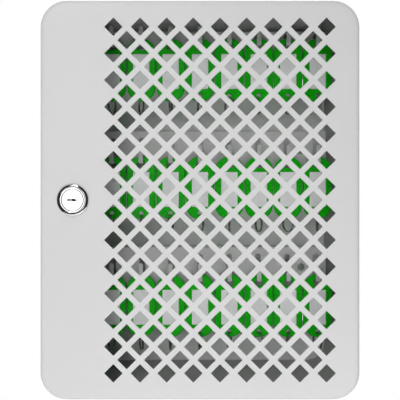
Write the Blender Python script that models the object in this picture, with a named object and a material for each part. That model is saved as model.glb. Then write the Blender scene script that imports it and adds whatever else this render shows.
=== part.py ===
"""Wall key cabinet: a sheet-steel box with a perforated, hinged and locked door,
three hook rails on stand-off posts, and a key tag on every hook.

World frame, in metres: +Z up, +X to the right as someone faces the door, and -Y out of
the wall. The origin is the centre of the back face, which lies on the wall at y = 0.
Most places are given as a depth behind the door's front face, which suits a cabinet that
is built from its door backwards; depth() turns one into a world y.
"""
import math

import bmesh
import bpy
from mathutils import Vector

MM = 0.001

# Overall sizes
DOOR_WIDTH = 240 * MM
DOOR_HEIGHT = 300 * MM
CABINET_DEPTH = 80 * MM
TOUCH_GAP = 0.3 * MM

# Door: a shallow pressed tray whose face is perforated
DOOR_SHEET = 1.0 * MM
DOOR_TRAY_DEPTH = 10 * MM
DOOR_CORNER = 20 * MM
DOOR_BEND = 4 * MM
DOOR_BEND_DEPTH = 1.8 * MM
BEND_STEPS = 4
CORNER_STEPS = 6

# Perforation: square holes standing on a corner, in staggered rows
HOLE_SIDE = 9.8 * MM
HOLE_PITCH = 20 * MM
LONG_ROW_FIRST_X = -65 * MM
LONG_ROW_HOLES = 9
LONG_ROWS = 14
TOP_ROW_Z = 130 * MM

# Cabinet shell: walls with an inturned front lip, set in from the door's outline
SHELL_SHEET = 1.0 * MM
SHELL_SIDE_INSET = 5.5 * MM
SHELL_END_INSET = 2 * MM
SHELL_CORNER = 16 * MM
SHELL_FRONT_DEPTH = 7 * MM
SHELL_LIP = 6 * MM
SHELL_HALF_WIDTH = DOOR_WIDTH / 2 - SHELL_SIDE_INSET
SHELL_HALF_HEIGHT = DOOR_HEIGHT / 2 - SHELL_END_INSET
WALL_HOLE_RADIUS = 3 * MM
WALL_HOLE_X = 95 * MM
WALL_HOLE_Z = 108 * MM

# Hooks and tags: three rows of nine, all measured from the middle row's hooks
HOOK_COUNT = 9
HOOK_PITCH = 24.4 * MM
ROW_PITCH = 97.8 * MM
ROW_NAMES = ("top", "middle", "bottom")
RAIL_SHEET = 1.2 * MM
RAIL_HALF_LENGTH = 106 * MM
RAIL_FRONT_DEPTH = 44 * MM
RAIL_HALF_HEIGHT = 17.5 * MM
RAIL_ABOVE_SHANK = 10.6 * MM
RAIL_FLANGE = 7 * MM
RAIL_ROOF_CLEARANCE = 4 * MM
SHANK_Z = 30.8 * MM
HOOK_HALF_WIDTH = 1.9 * MM
FINGER_DEPTH = 35 * MM
FINGER_TOP_ABOVE_SHANK = 14.9 * MM
HOOK_BEND = 1.6 * MM
SLOT_HALF_WIDTH = 2.3 * MM
SLOT_TOP_ABOVE_SHANK = 21.6 * MM
SLOT_MIN_MARGIN = 3 * MM

# Stand-off posts that carry the rails
POST_X = 85 * MM
POST_BASE_RADIUS = 7 * MM
POST_BASE_THICKNESS = 1.5 * MM
POST_RADIUS = 4 * MM
POST_NECK_RADIUS = 2 * MM
POST_HEAD_RADIUS = 3 * MM
POST_HEAD_HEIGHT = 1.2 * MM
POST_CROWN_RADIUS = 1.8 * MM
POST_SHOULDER_RADIUS = 2.8 * MM
POST_HOLE_RADIUS = 2.4 * MM

# Key tags
TAG_WIDTH = 23.7 * MM
TAG_LENGTH = 52.3 * MM
TAG_THICKNESS = 3 * MM
TAG_DEPTH = 38.5 * MM
TAG_TOP_ABOVE_SHANK = 5.4 * MM
TAG_LIFT = 0.6 * MM
HOOK_HOLE_HALF_WIDTH = 3.2 * MM
HOOK_HOLE_HALF_HEIGHT = 2.8 * MM
HOOK_HOLE_CORNER = 1.2 * MM
RING_HOLE_RADIUS = 1.85 * MM
RING_HOLE_ABOVE_TIP = 5.1 * MM
LABEL_HALF_WIDTH = 7 * MM
LABEL_HALF_HEIGHT = 14.7 * MM
LABEL_BELOW_SHANK = 22 * MM
LABEL_RECESS = 0.6 * MM

# Hinges: knuckles stand beside the shell, behind the door's overhang
HINGE_X = 117.3 * MM
HINGE_DEPTH = 12.7 * MM
HINGE_Z = 95 * MM
HINGE_HALF_HEIGHT = 20 * MM
KNUCKLE_GAP = 0.4 * MM
KNUCKLE_RADIUS = 2.4 * MM
KNUCKLE_BORE = 1.3 * MM
HINGE_PIN_RADIUS = 1.0 * MM
LEAF_THICKNESS = 1.0 * MM
BODY_LEAF_REACH = 18 * MM
DOOR_LEAF_FRONT_DEPTH = 4.5 * MM

# Cam lock
LOCK_X = -95.3 * MM
BEZEL_RADIUS = 12.1 * MM
BEZEL_HEIGHT = 2 * MM
LOCK_CHAMFER = 0.8 * MM
BARREL_RADIUS = 9.2 * MM
BARREL_CLEARANCE = 0.3 * MM
BARREL_END_DEPTH = 8.8 * MM
PLUG_RADIUS = 8.1 * MM
PLUG_BORE_RADIUS = 8.4 * MM
PLUG_END_DEPTH = 9.4 * MM
BOSS_RADIUS = 3.5 * MM
BOSS_END_DEPTH = 11.8 * MM
KEYWAY_LENGTH = 7.5 * MM
KEYWAY_WIDTH = 1.7 * MM
KEYWAY_DEPTH = 4 * MM
NUT_RADIUS = 13 * MM
NUT_THICKNESS = 3 * MM
CAM_FRONT_DEPTH = 9.8 * MM
CAM_THICKNESS = 2 * MM
CAM_HALF_WIDTH = 6 * MM
CAM_REACH = 17 * MM
CAM_HOLE_RADIUS = 3.8 * MM
WASHER_RADIUS = 6 * MM
WASHER_THICKNESS = 0.8 * MM
SCREW_RADIUS = 1.7 * MM
SCREW_BORE_RADIUS = 2 * MM
SCREW_HEAD_RADIUS = 4 * MM
SCREW_HEAD_HEIGHT = 2.2 * MM
SCREW_LENGTH = 8 * MM

# Segments round a small hole or stud, an ordinary circle and a fine one
SMALL_STEPS = 12
ROUND_STEPS = 16
FINE_STEPS = 24
SMOOTH_ANGLE = math.radians(35)


def depth(behind_door):
    """World y of a plane this far behind the door's front face."""
    return behind_door - CABINET_DEPTH


# Outlines, as lists of (x, z) points running anticlockwise from the right

def arc(centre_x, centre_z, radius, start, sweep, steps):
    angles = [math.radians(start + sweep * i / steps) for i in range(steps + 1)]
    return [(centre_x + radius * math.cos(a), centre_z + radius * math.sin(a)) for a in angles]


def circle(centre_x, centre_z, radius, steps=ROUND_STEPS):
    return arc(centre_x, centre_z, radius, 0, 360, steps)[:-1]


def rounded_rectangle(half_width, half_height, radius, steps, centre=(0, 0)):
    points = []
    corners = ((1, 1, 0), (-1, 1, 90), (-1, -1, 180), (1, -1, 270))
    for side, end, start in corners:
        x = centre[0] + side * (half_width - radius)
        z = centre[1] + end * (half_height - radius)
        points += arc(x, z, radius, start, 90, steps)
    return points


def diamond(centre_x, centre_z, side):
    half_diagonal = side / math.sqrt(2)
    return circle(centre_x, centre_z, half_diagonal, steps=4)


def stadium(half_width, bottom, top):
    """A vertical outline with two round ends."""
    upper = arc(0, top - half_width, half_width, 0, 180, 6)
    lower = arc(0, bottom + half_width, half_width, 180, 180, 6)
    return upper + lower


# Mesh building

def loop_at(bm, points, y):
    return [bm.verts.new((x, y, z)) for x, z in points]


def bridge(bm, first, second):
    for i in range(len(first)):
        bm.faces.new((first[i - 1], first[i], second[i], second[i - 1]))


def fill(bm, loops):
    """Fill the area inside the first loop and outside the others."""
    edges = []
    for loop in loops:
        for i in range(len(loop)):
            edges.append(bm.edges.get((loop[i - 1], loop[i])) or bm.edges.new((loop[i - 1], loop[i])))
    bmesh.ops.triangle_fill(bm, edges=edges, use_beauty=True)


def plate(outline, holes, y_front, y_back, recess=None, recess_depth=0.0):
    """A flat plate across Y with through holes and, in its front, one blind recess."""
    bm = bmesh.new()
    front = [loop_at(bm, points, y_front) for points in [outline] + holes]
    back = [loop_at(bm, points, y_back) for points in [outline] + holes]
    for front_loop, back_loop in zip(front, back):
        bridge(bm, front_loop, back_loop)
    if recess:
        rim = loop_at(bm, recess, y_front)
        floor = loop_at(bm, recess, y_front + recess_depth)
        bridge(bm, rim, floor)
        fill(bm, [floor])
        front.append(rim)
    fill(bm, front)
    fill(bm, back)
    return bm


def ring_frame(section, half_width, half_height, radius):
    """Carry a closed section of (inset, y) points round a rounded rectangle."""
    bm = bmesh.new()
    loops = []
    for inset, y in section:
        points = rounded_rectangle(half_width - inset, half_height - inset, radius - inset, CORNER_STEPS)
        loops.append(loop_at(bm, points, y))
    for i in range(len(loops)):
        bridge(bm, loops[i - 1], loops[i])
    return bm


def turned(profile, centre_x, centre_z, hollow=False, steps=ROUND_STEPS):
    """Turn a profile of (radius, y) points about a line along Y."""
    bm = bmesh.new()
    loops = [loop_at(bm, circle(centre_x, centre_z, radius, steps), y) for radius, y in profile]
    for i in range(1, len(loops)):
        bridge(bm, loops[i - 1], loops[i])
    if hollow:
        bridge(bm, loops[-1], loops[0])
    else:
        bm.faces.new(loops[0])
        bm.faces.new(loops[-1])
    return bm


def box(low, high):
    bm = bmesh.new()
    bmesh.ops.create_cube(bm, size=1.0)
    size = Vector(high) - Vector(low)
    centre = (Vector(high) + Vector(low)) / 2
    bmesh.ops.scale(bm, verts=bm.verts, vec=size)
    bmesh.ops.translate(bm, verts=bm.verts, vec=centre)
    return bm


def add_to(bm, other):
    """Move the other mesh's geometry into bm, as a separate body."""
    mesh = bpy.data.meshes.new("joined")
    other.to_mesh(mesh)
    other.free()
    bm.from_mesh(mesh)
    bpy.data.meshes.remove(mesh)


def mesh_from(bm, name):
    bmesh.ops.recalc_face_normals(bm, faces=bm.faces)
    mesh = bpy.data.meshes.new(name)
    bm.to_mesh(mesh)
    bm.free()
    return mesh


# Objects

def make_material(name, colour, roughness, metallic=0.0):
    material = bpy.data.materials.new(name)
    material.use_nodes = True
    shader = material.node_tree.nodes["Principled BSDF"]
    shader.inputs["Base Color"].default_value = (*colour, 1.0)
    shader.inputs["Roughness"].default_value = roughness
    shader.inputs["Metallic"].default_value = metallic
    return material


def link(name, mesh, material):
    piece = bpy.data.objects.new(name, mesh)
    piece.data.materials.append(material)
    bpy.context.collection.objects.link(piece)
    return piece


def add_piece(name, bm, material, smooth=False, origin=None):
    """Make one sub-part; its origin is moved to its joint's axis if it has one."""
    mesh = mesh_from(bm, name)
    if smooth:
        mesh.shade_smooth()
        mesh.set_sharp_from_angle(angle=SMOOTH_ANGLE)
    piece = link(name, mesh, material)
    if origin:
        for vertex in mesh.vertices:
            vertex.co -= Vector(origin)
        piece.location = origin
    return piece


def add_boolean(piece, tool_mesh, operation):
    """Join a tool shape to the piece, or cut it away. The tool is hidden."""
    tool = bpy.data.objects.new(piece.name + "_" + operation.lower(), mesh_from(tool_mesh, "tool"))
    bpy.context.collection.objects.link(tool)
    tool.hide_render = True
    tool.display_type = "WIRE"
    modifier = piece.modifiers.new(operation.title(), "BOOLEAN")
    modifier.operation = operation
    modifier.solver = "EXACT"
    modifier.object = tool


# Sub-parts

def door_holes():
    """Centres of the perforation: long rows and, between them, rows with one hole fewer."""
    centres = []
    for row in range(2 * LONG_ROWS - 1):
        short = row % 2
        first_x = LONG_ROW_FIRST_X + short * HOLE_PITCH / 2
        z = TOP_ROW_Z - row * HOLE_PITCH / 2
        centres += [(first_x + i * HOLE_PITCH, z) for i in range(LONG_ROW_HOLES - short)]
    return centres


def build_door(paint):
    """The face, its rolled edge and the return flange, inside and outside."""
    bm = bmesh.new()

    def tray_loop(inset, behind):
        points = rounded_rectangle(DOOR_WIDTH / 2 - inset, DOOR_HEIGHT / 2 - inset,
                                   DOOR_CORNER - inset, CORNER_STEPS)
        return loop_at(bm, points, depth(behind))

    def skin(thickness):
        """From the flat face's edge, round the bend and back along the flange."""
        loops = []
        for step in range(BEND_STEPS + 1):
            angle = math.pi / 2 * step / BEND_STEPS
            inset = DOOR_BEND - (DOOR_BEND - thickness) * math.sin(angle)
            behind = DOOR_BEND_DEPTH - (DOOR_BEND_DEPTH - thickness) * math.cos(angle)
            loops.append(tray_loop(inset, behind))
        loops.append(tray_loop(thickness, DOOR_TRAY_DEPTH))
        for i in range(1, len(loops)):
            bridge(bm, loops[i - 1], loops[i])
        return loops

    outside = skin(0.0)
    inside = skin(DOOR_SHEET)
    bridge(bm, outside[-1], inside[-1])
    front = [outside[0]]
    back = [inside[0]]
    hole_outlines = [diamond(x, z, HOLE_SIDE) for x, z in door_holes()]
    hole_outlines.append(circle(LOCK_X, 0, BARREL_RADIUS + BARREL_CLEARANCE, FINE_STEPS))
    for outline in hole_outlines:
        front.append(loop_at(bm, outline, depth(0)))
        back.append(loop_at(bm, outline, depth(DOOR_SHEET)))
        bridge(bm, front[-1], back[-1])
    fill(bm, front)
    fill(bm, back)
    hinge_line = (HINGE_X, depth(HINGE_DEPTH), 0)
    return add_piece("door_panel", bm, paint, origin=hinge_line)


def build_shell(paint):
    front = depth(SHELL_FRONT_DEPTH)
    lip = SHELL_SHEET + SHELL_LIP
    section = [(0, 0), (0, front), (lip, front), (lip, front + SHELL_SHEET),
               (SHELL_SHEET, front + SHELL_SHEET), (SHELL_SHEET, 0)]
    bm = ring_frame(section, SHELL_HALF_WIDTH, SHELL_HALF_HEIGHT, SHELL_CORNER)
    return add_piece("cabinet_shell", bm, paint)


def build_back_panel(paint):
    """The back sheet, with four holes for screws into the wall."""
    inset = SHELL_SHEET + TOUCH_GAP
    outline = rounded_rectangle(SHELL_HALF_WIDTH - inset, SHELL_HALF_HEIGHT - inset,
                                SHELL_CORNER - inset, CORNER_STEPS)
    holes = [circle(x, z, WALL_HOLE_RADIUS)
             for x in (-WALL_HOLE_X, WALL_HOLE_X) for z in (-WALL_HOLE_Z, WALL_HOLE_Z)]
    return add_piece("back_panel", plate(outline, holes, -SHELL_SHEET, 0), paint)


def hook_positions():
    return [(i - (HOOK_COUNT - 1) / 2) * HOOK_PITCH for i in range(HOOK_COUNT)]


def hook_mesh(x, shank_z):
    """A strip bent out of the rail: a shank straight forward, then a finger up to a round tip."""
    bend_y = depth(FINGER_DEPTH) + HOOK_BEND
    bend_z = shank_z + HOOK_BEND
    tip_z = shank_z + FINGER_TOP_ABOVE_SHANK - HOOK_HALF_WIDTH
    root_y = depth(RAIL_FRONT_DEPTH + RAIL_SHEET / 2)
    stations = [(root_y, shank_z, 90, HOOK_HALF_WIDTH)]
    for step in range(4):
        angle = 90 * step / 3
        y = bend_y - HOOK_BEND * math.sin(math.radians(angle))
        z = bend_z - HOOK_BEND * math.cos(math.radians(angle))
        stations.append((y, z, 90 - angle, HOOK_HALF_WIDTH))
    for angle in (0, 40, 75):
        radians = math.radians(angle)
        z = tip_z + HOOK_HALF_WIDTH * math.sin(radians)
        stations.append((depth(FINGER_DEPTH), z, 0, HOOK_HALF_WIDTH * math.cos(radians)))
    bm = bmesh.new()
    loops = []
    for y, z, across, half_width in stations:
        offset_y = RAIL_SHEET / 2 * math.cos(math.radians(across))
        offset_z = RAIL_SHEET / 2 * math.sin(math.radians(across))
        corners = ((-half_width, -1), (half_width, -1), (half_width, 1), (-half_width, 1))
        loops.append([bm.verts.new((x + side, y + way * offset_y, z + way * offset_z))
                      for side, way in corners])
    for i in range(1, len(loops)):
        bridge(bm, loops[i - 1], loops[i])
    bm.faces.new(loops[0])
    bm.faces.new(loops[-1])
    return bm


def rail_span(row_z):
    """Lowest and highest z of a rail; the top one is cut down to clear the roof."""
    middle = row_z + SHANK_Z + RAIL_ABOVE_SHANK
    roof = SHELL_HALF_HEIGHT - SHELL_SHEET - RAIL_ROOF_CLEARANCE
    return middle - RAIL_HALF_HEIGHT, min(middle + RAIL_HALF_HEIGHT, roof)


def post_height(row_z):
    low, high = rail_span(row_z)
    return (low + high) / 2


def build_rail(name, row_z, paint):
    """A channel of folded strip with nine lanced hooks and two post holes."""
    low, high = rail_span(row_z)
    shank_z = row_z + SHANK_Z
    front = depth(RAIL_FRONT_DEPTH)
    slot_bottom = shank_z + RAIL_SHEET / 2 + TOUCH_GAP
    slot_top = min(shank_z + SLOT_TOP_ABOVE_SHANK, high - SLOT_MIN_MARGIN)
    round_z = slot_top - SLOT_HALF_WIDTH
    slots = []
    for x in hook_positions():
        slot = arc(x, round_z, SLOT_HALF_WIDTH, 0, 180, 4)
        slot += [(x - SLOT_HALF_WIDTH, slot_bottom), (x + SLOT_HALF_WIDTH, slot_bottom)]
        slots.append(slot)
    post_holes = [circle(x, post_height(row_z), POST_HOLE_RADIUS, SMALL_STEPS) for x in (-POST_X, POST_X)]
    outline = [(RAIL_HALF_LENGTH, high), (-RAIL_HALF_LENGTH, high),
               (-RAIL_HALF_LENGTH, low), (RAIL_HALF_LENGTH, low)]
    rail = add_piece(name, plate(outline, slots + post_holes, front, front + RAIL_SHEET), paint)
    flange_back = front + RAIL_FLANGE
    flanges = box((-RAIL_HALF_LENGTH, front, high - RAIL_SHEET), (RAIL_HALF_LENGTH, flange_back, high))
    add_to(flanges, box((-RAIL_HALF_LENGTH, front, low), (RAIL_HALF_LENGTH, flange_back, low + RAIL_SHEET)))
    add_boolean(rail, flanges, "UNION")
    hooks = bmesh.new()
    for x in hook_positions():
        add_to(hooks, hook_mesh(x, shank_z))
    add_boolean(rail, hooks, "UNION")
    return rail


def build_post(name, x, row_z, metal):
    """A shouldered stud from the back panel, riveted over in front of the rail."""
    base = -SHELL_SHEET - TOUCH_GAP
    rail_back = depth(RAIL_FRONT_DEPTH) + RAIL_SHEET + TOUCH_GAP
    rail_front = depth(RAIL_FRONT_DEPTH) - TOUCH_GAP
    profile = [(POST_BASE_RADIUS, base), (POST_BASE_RADIUS, base - POST_BASE_THICKNESS),
               (POST_RADIUS, base - POST_BASE_THICKNESS), (POST_RADIUS, rail_back),
               (POST_NECK_RADIUS, rail_back), (POST_NECK_RADIUS, rail_front),
               (POST_HEAD_RADIUS, rail_front), (POST_SHOULDER_RADIUS, rail_front - POST_HEAD_HEIGHT / 2),
               (POST_CROWN_RADIUS, rail_front - POST_HEAD_HEIGHT)]
    add_piece(name, turned(profile, x, post_height(row_z), steps=SMALL_STEPS), metal, smooth=True)


def tag_mesh():
    """One tag, modelled about its hanging line: the top of the shank, at its own mid-thickness."""
    shank_top = RAIL_SHEET / 2
    tag_top = TAG_TOP_ABOVE_SHANK - shank_top
    tag_tip = tag_top - TAG_LENGTH
    hook_hole_z = TAG_LIFT - HOOK_HOLE_HALF_HEIGHT
    hook_hole = rounded_rectangle(HOOK_HOLE_HALF_WIDTH, HOOK_HOLE_HALF_HEIGHT, HOOK_HOLE_CORNER,
                                  1, centre=(0, hook_hole_z))
    ring_hole = circle(0, tag_tip + RING_HOLE_ABOVE_TIP, RING_HOLE_RADIUS, 8)
    label_z = -LABEL_BELOW_SHANK - shank_top
    label = [(LABEL_HALF_WIDTH, label_z + LABEL_HALF_HEIGHT), (-LABEL_HALF_WIDTH, label_z + LABEL_HALF_HEIGHT),
             (-LABEL_HALF_WIDTH, label_z - LABEL_HALF_HEIGHT), (LABEL_HALF_WIDTH, label_z - LABEL_HALF_HEIGHT)]
    outline = stadium(TAG_WIDTH / 2, tag_tip, tag_top)
    bm = plate(outline, [hook_hole, ring_hole], -TAG_THICKNESS / 2, TAG_THICKNESS / 2,
               recess=label, recess_depth=LABEL_RECESS)
    return mesh_from(bm, "key_tag")


def build_tags(row_name, row_z, mesh):
    """A row of tags, each with its origin on the line it swings about."""
    for number, x in enumerate(hook_positions(), start=1):
        tag = bpy.data.objects.new("key_tag_%s_%d" % (row_name, number), mesh)
        tag.location = (x, depth(TAG_DEPTH), row_z + SHANK_Z + RAIL_SHEET / 2)
        bpy.context.collection.objects.link(tag)


def knuckle(low, high):
    """A length of hinge tube, standing on the hinge line."""
    bm = bmesh.new()
    for radius in (KNUCKLE_RADIUS, KNUCKLE_BORE):
        ring = circle(HINGE_X, depth(HINGE_DEPTH), radius)
        lower = [bm.verts.new((x, y, low)) for x, y in ring]
        upper = [bm.verts.new((x, y, high)) for x, y in ring]
        bridge(bm, lower, upper)
    bm.verts.ensure_lookup_table()
    steps = ROUND_STEPS
    outer_low, outer_high = bm.verts[0:steps], bm.verts[steps:2 * steps]
    inner_low, inner_high = bm.verts[2 * steps:3 * steps], bm.verts[3 * steps:4 * steps]
    bridge(bm, outer_low, inner_low)
    bridge(bm, outer_high, inner_high)
    return bm


def build_hinge(name, middle_z, metal):
    """A three-knuckle butt hinge: body leaf outside the shell, door leaf inside the tray."""
    third = HINGE_HALF_HEIGHT / 3
    low = middle_z - HINGE_HALF_HEIGHT
    high = middle_z + HINGE_HALF_HEIGHT
    axis_y = depth(HINGE_DEPTH)
    leaf_x = SHELL_HALF_WIDTH + TOUCH_GAP
    body_leaf = add_piece(name + "_body_leaf",
                          box((leaf_x, axis_y, low), (leaf_x + LEAF_THICKNESS, axis_y + BODY_LEAF_REACH, high)),
                          metal)
    notch = box((leaf_x - LEAF_THICKNESS, axis_y - KNUCKLE_RADIUS, middle_z - third),
                (HINGE_X + KNUCKLE_RADIUS, axis_y + KNUCKLE_RADIUS + KNUCKLE_GAP, middle_z + third))
    add_boolean(body_leaf, notch, "DIFFERENCE")
    knuckles = knuckle(low, middle_z - third)
    add_to(knuckles, knuckle(middle_z + third, high))
    add_boolean(body_leaf, knuckles, "UNION")

    door_x = DOOR_WIDTH / 2 - DOOR_SHEET - TOUCH_GAP
    door_half = third - KNUCKLE_GAP
    ring_wall = (KNUCKLE_RADIUS + KNUCKLE_BORE) / 2
    door_leaf = add_piece(name + "_door_leaf",
                          box((door_x - LEAF_THICKNESS, depth(DOOR_LEAF_FRONT_DEPTH), low),
                              (door_x, axis_y - KNUCKLE_RADIUS - KNUCKLE_GAP, high)), metal)
    tongue = box((door_x - LEAF_THICKNESS, depth(DOOR_LEAF_FRONT_DEPTH) + LEAF_THICKNESS,
                  middle_z - door_half),
                 (door_x, axis_y - ring_wall, middle_z + door_half))
    add_boolean(door_leaf, tongue, "UNION")
    add_boolean(door_leaf, knuckle(middle_z - door_half, middle_z + door_half), "UNION")

    pin = bmesh.new()
    ring = circle(HINGE_X, axis_y, HINGE_PIN_RADIUS, SMALL_STEPS)
    ends = [[pin.verts.new((x, y, z)) for x, y in ring] for z in (low - LEAF_THICKNESS, high + LEAF_THICKNESS)]
    bridge(pin, ends[0], ends[1])
    pin.faces.new(ends[0])
    pin.faces.new(ends[1])
    add_piece(name + "_pin", pin, metal, smooth=True)


def build_lock(chrome, steel):
    """Housing and nut stay with the door; plug, cam, washer and screw turn together."""
    core_line = (LOCK_X, depth(0), 0)
    bezel_front = depth(-BEZEL_HEIGHT)
    bezel_back = depth(0) - TOUCH_GAP
    housing = [(PLUG_BORE_RADIUS, bezel_front), (BEZEL_RADIUS - LOCK_CHAMFER, bezel_front),
               (BEZEL_RADIUS, bezel_front + LOCK_CHAMFER), (BEZEL_RADIUS, bezel_back),
               (BARREL_RADIUS, bezel_back), (BARREL_RADIUS, depth(BARREL_END_DEPTH)),
               (PLUG_BORE_RADIUS, depth(BARREL_END_DEPTH))]
    add_piece("lock_housing", turned(housing, LOCK_X, 0, hollow=True, steps=FINE_STEPS), chrome, smooth=True)

    nut_front = depth(DOOR_SHEET) + TOUCH_GAP
    hexagon = circle(LOCK_X, 0, NUT_RADIUS, steps=6)
    nut_bore = circle(LOCK_X, 0, BARREL_RADIUS + BARREL_CLEARANCE, FINE_STEPS)
    add_piece("lock_nut", plate(hexagon, [nut_bore], nut_front, nut_front + NUT_THICKNESS), steel)

    boss_end = depth(BOSS_END_DEPTH)
    plug_profile = [(PLUG_RADIUS, bezel_front + TOUCH_GAP), (PLUG_RADIUS, depth(PLUG_END_DEPTH)),
                    (BOSS_RADIUS, depth(PLUG_END_DEPTH)), (BOSS_RADIUS, boss_end),
                    (SCREW_BORE_RADIUS, boss_end), (SCREW_BORE_RADIUS, boss_end - SCREW_LENGTH)]
    plug = add_piece("lock_plug", turned(plug_profile, LOCK_X, 0, steps=FINE_STEPS), chrome,
                     smooth=True, origin=core_line)
    keyway = box((LOCK_X - KEYWAY_LENGTH / 2, bezel_front - MM, -KEYWAY_WIDTH / 2),
                 (LOCK_X + KEYWAY_LENGTH / 2, bezel_front + KEYWAY_DEPTH, KEYWAY_WIDTH / 2))
    add_boolean(plug, keyway, "DIFFERENCE")

    cam_outline = arc(LOCK_X, 0, CAM_HALF_WIDTH, 0, 180, 10)
    cam_outline += arc(LOCK_X, CAM_HALF_WIDTH - CAM_REACH, CAM_HALF_WIDTH, 180, 180, 6)
    cam_hole = circle(LOCK_X, 0, CAM_HOLE_RADIUS)
    cam_front = depth(CAM_FRONT_DEPTH)
    add_piece("lock_cam", plate(cam_outline, [cam_hole], cam_front, cam_front + CAM_THICKNESS), steel,
              origin=core_line)

    washer_front = cam_front + CAM_THICKNESS + TOUCH_GAP
    washer_back = washer_front + WASHER_THICKNESS
    add_piece("cam_washer", plate(circle(LOCK_X, 0, WASHER_RADIUS), [circle(LOCK_X, 0, SCREW_BORE_RADIUS)],
                                  washer_front, washer_back), steel, origin=core_line)

    head_front = washer_back + TOUCH_GAP
    head_back = head_front + SCREW_HEAD_HEIGHT
    screw_tip = boss_end - SCREW_LENGTH + MM
    screw = [(SCREW_RADIUS, screw_tip), (SCREW_RADIUS, head_front), (SCREW_HEAD_RADIUS, head_front),
             (SCREW_HEAD_RADIUS, head_back - LOCK_CHAMFER), (SCREW_HEAD_RADIUS - LOCK_CHAMFER, head_back)]
    add_piece("cam_screw", turned(screw, LOCK_X, 0), steel, smooth=True, origin=core_line)


def build_cabinet():
    for leftover in list(bpy.data.objects):
        bpy.data.objects.remove(leftover)
    paint = make_material("light_grey_paint", (0.62, 0.63, 0.63), 0.45)
    textured_paint = make_material("textured_grey_paint", (0.40, 0.41, 0.41), 0.6)
    chrome = make_material("chrome", (0.80, 0.80, 0.80), 0.15, metallic=1.0)
    steel = make_material("zinc_plated_steel", (0.55, 0.56, 0.58), 0.35, metallic=1.0)
    green_plastic = make_material("green_plastic", (0.01, 0.35, 0.02), 0.35)

    build_shell(paint)
    build_back_panel(textured_paint)
    tag = tag_mesh()
    tag.materials.append(green_plastic)
    for row, row_name in enumerate(ROW_NAMES):
        row_z = (1 - row) * ROW_PITCH
        build_rail("hook_rail_" + row_name, row_z, textured_paint)
        build_post("rail_post_%s_left" % row_name, -POST_X, row_z, steel)
        build_post("rail_post_%s_right" % row_name, POST_X, row_z, steel)
        build_tags(row_name, row_z, tag)
    build_door(paint)
    build_hinge("upper_hinge", HINGE_Z, steel)
    build_hinge("lower_hinge", -HINGE_Z, steel)
    build_lock(chrome, steel)


build_cabinet()
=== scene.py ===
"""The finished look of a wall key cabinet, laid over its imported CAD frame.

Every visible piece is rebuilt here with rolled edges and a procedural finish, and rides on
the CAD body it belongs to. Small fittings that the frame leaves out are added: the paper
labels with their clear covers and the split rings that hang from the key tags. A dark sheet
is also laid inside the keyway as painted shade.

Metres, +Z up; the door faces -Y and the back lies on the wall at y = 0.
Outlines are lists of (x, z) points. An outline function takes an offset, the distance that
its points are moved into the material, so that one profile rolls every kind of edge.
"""
import math

import bmesh
import bpy
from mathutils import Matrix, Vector


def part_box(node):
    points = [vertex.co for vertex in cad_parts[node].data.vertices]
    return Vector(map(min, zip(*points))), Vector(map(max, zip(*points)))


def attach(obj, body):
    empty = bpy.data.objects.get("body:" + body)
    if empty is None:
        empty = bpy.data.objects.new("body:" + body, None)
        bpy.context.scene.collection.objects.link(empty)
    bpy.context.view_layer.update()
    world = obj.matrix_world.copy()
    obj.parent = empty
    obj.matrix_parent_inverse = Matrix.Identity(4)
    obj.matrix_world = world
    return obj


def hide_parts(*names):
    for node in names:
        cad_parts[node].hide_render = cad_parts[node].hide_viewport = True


MM = 0.001

# Door
DOOR_SHEET = 1.0 * MM
DOOR_CORNER = 20 * MM
DOOR_BEND = 4 * MM
DOOR_BEND_DEPTH = 1.8 * MM
HOLE_SIDE = 9.8 * MM
HOLE_CORNER = 0.5 * MM
HOLE_PITCH = 20 * MM
FIRST_HOLE_X = -65 * MM
HOLES_IN_LONG_ROW = 9
LONG_ROWS = 14
TOP_ROW_Z = 130 * MM
PUNCHED_EDGE = 0.22 * MM
SHEET_EDGE = 0.12 * MM

# Clearance between parts that touch on the real cabinet
FIT_GAP = 0.3 * MM

# Shell
SHELL_SHEET = 1.0 * MM
SHELL_CORNER = 16 * MM
SHELL_LIP = 6 * MM
SHELL_BEND = 1.8 * MM
WALL_HOLE_RADIUS = 3 * MM
WALL_HOLE_X = 95 * MM
WALL_HOLE_Z = 108 * MM

# Rails and hooks
ROWS = ("top", "middle", "bottom")
ROW_PITCH = 97.8 * MM
HOOK_PITCH = 24.4 * MM
HOOK_COUNT = 9
SHANK_Z = 30.8 * MM
RAIL_SHEET = 1.2 * MM
RAIL_BEND = 2.0 * MM
HOOK_HALF_WIDTH = 1.9 * MM
HOOK_BEND = 1.6 * MM
HOOK_EDGE = 0.3 * MM
HOOK_TIP_SWEEP = 84
FINGER_RISE = 14.9 * MM
FINGER_BEFORE_RAIL = 9 * MM
SLOT_HALF_WIDTH = 2.3 * MM
SLOT_TOP = 21.6 * MM
SLOT_BOTTOM = 0.9 * MM
SLOT_TO_RAIL_TOP = 3 * MM
SLOT_CORNER = 0.4 * MM
SLOT_FRONT_EDGE = 0.2 * MM
SLOT_BACK_EDGE = 0.1 * MM
TOP_RAIL_CLEARANCE = 4 * MM

# Posts that carry the rails
POST_X = 85 * MM
POST_HOLE_RADIUS = 2.4 * MM
POST_HEAD_RADIUS = 3 * MM
POST_HEAD_HEIGHT = 1.2 * MM
POST_NECK_RADIUS = 2 * MM
POST_RADIUS = 4 * MM
POST_SHOULDER_GAP = 0.6 * MM
POST_FOOT_THICKNESS = 1.5 * MM
POST_EDGE = 0.3 * MM

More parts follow.
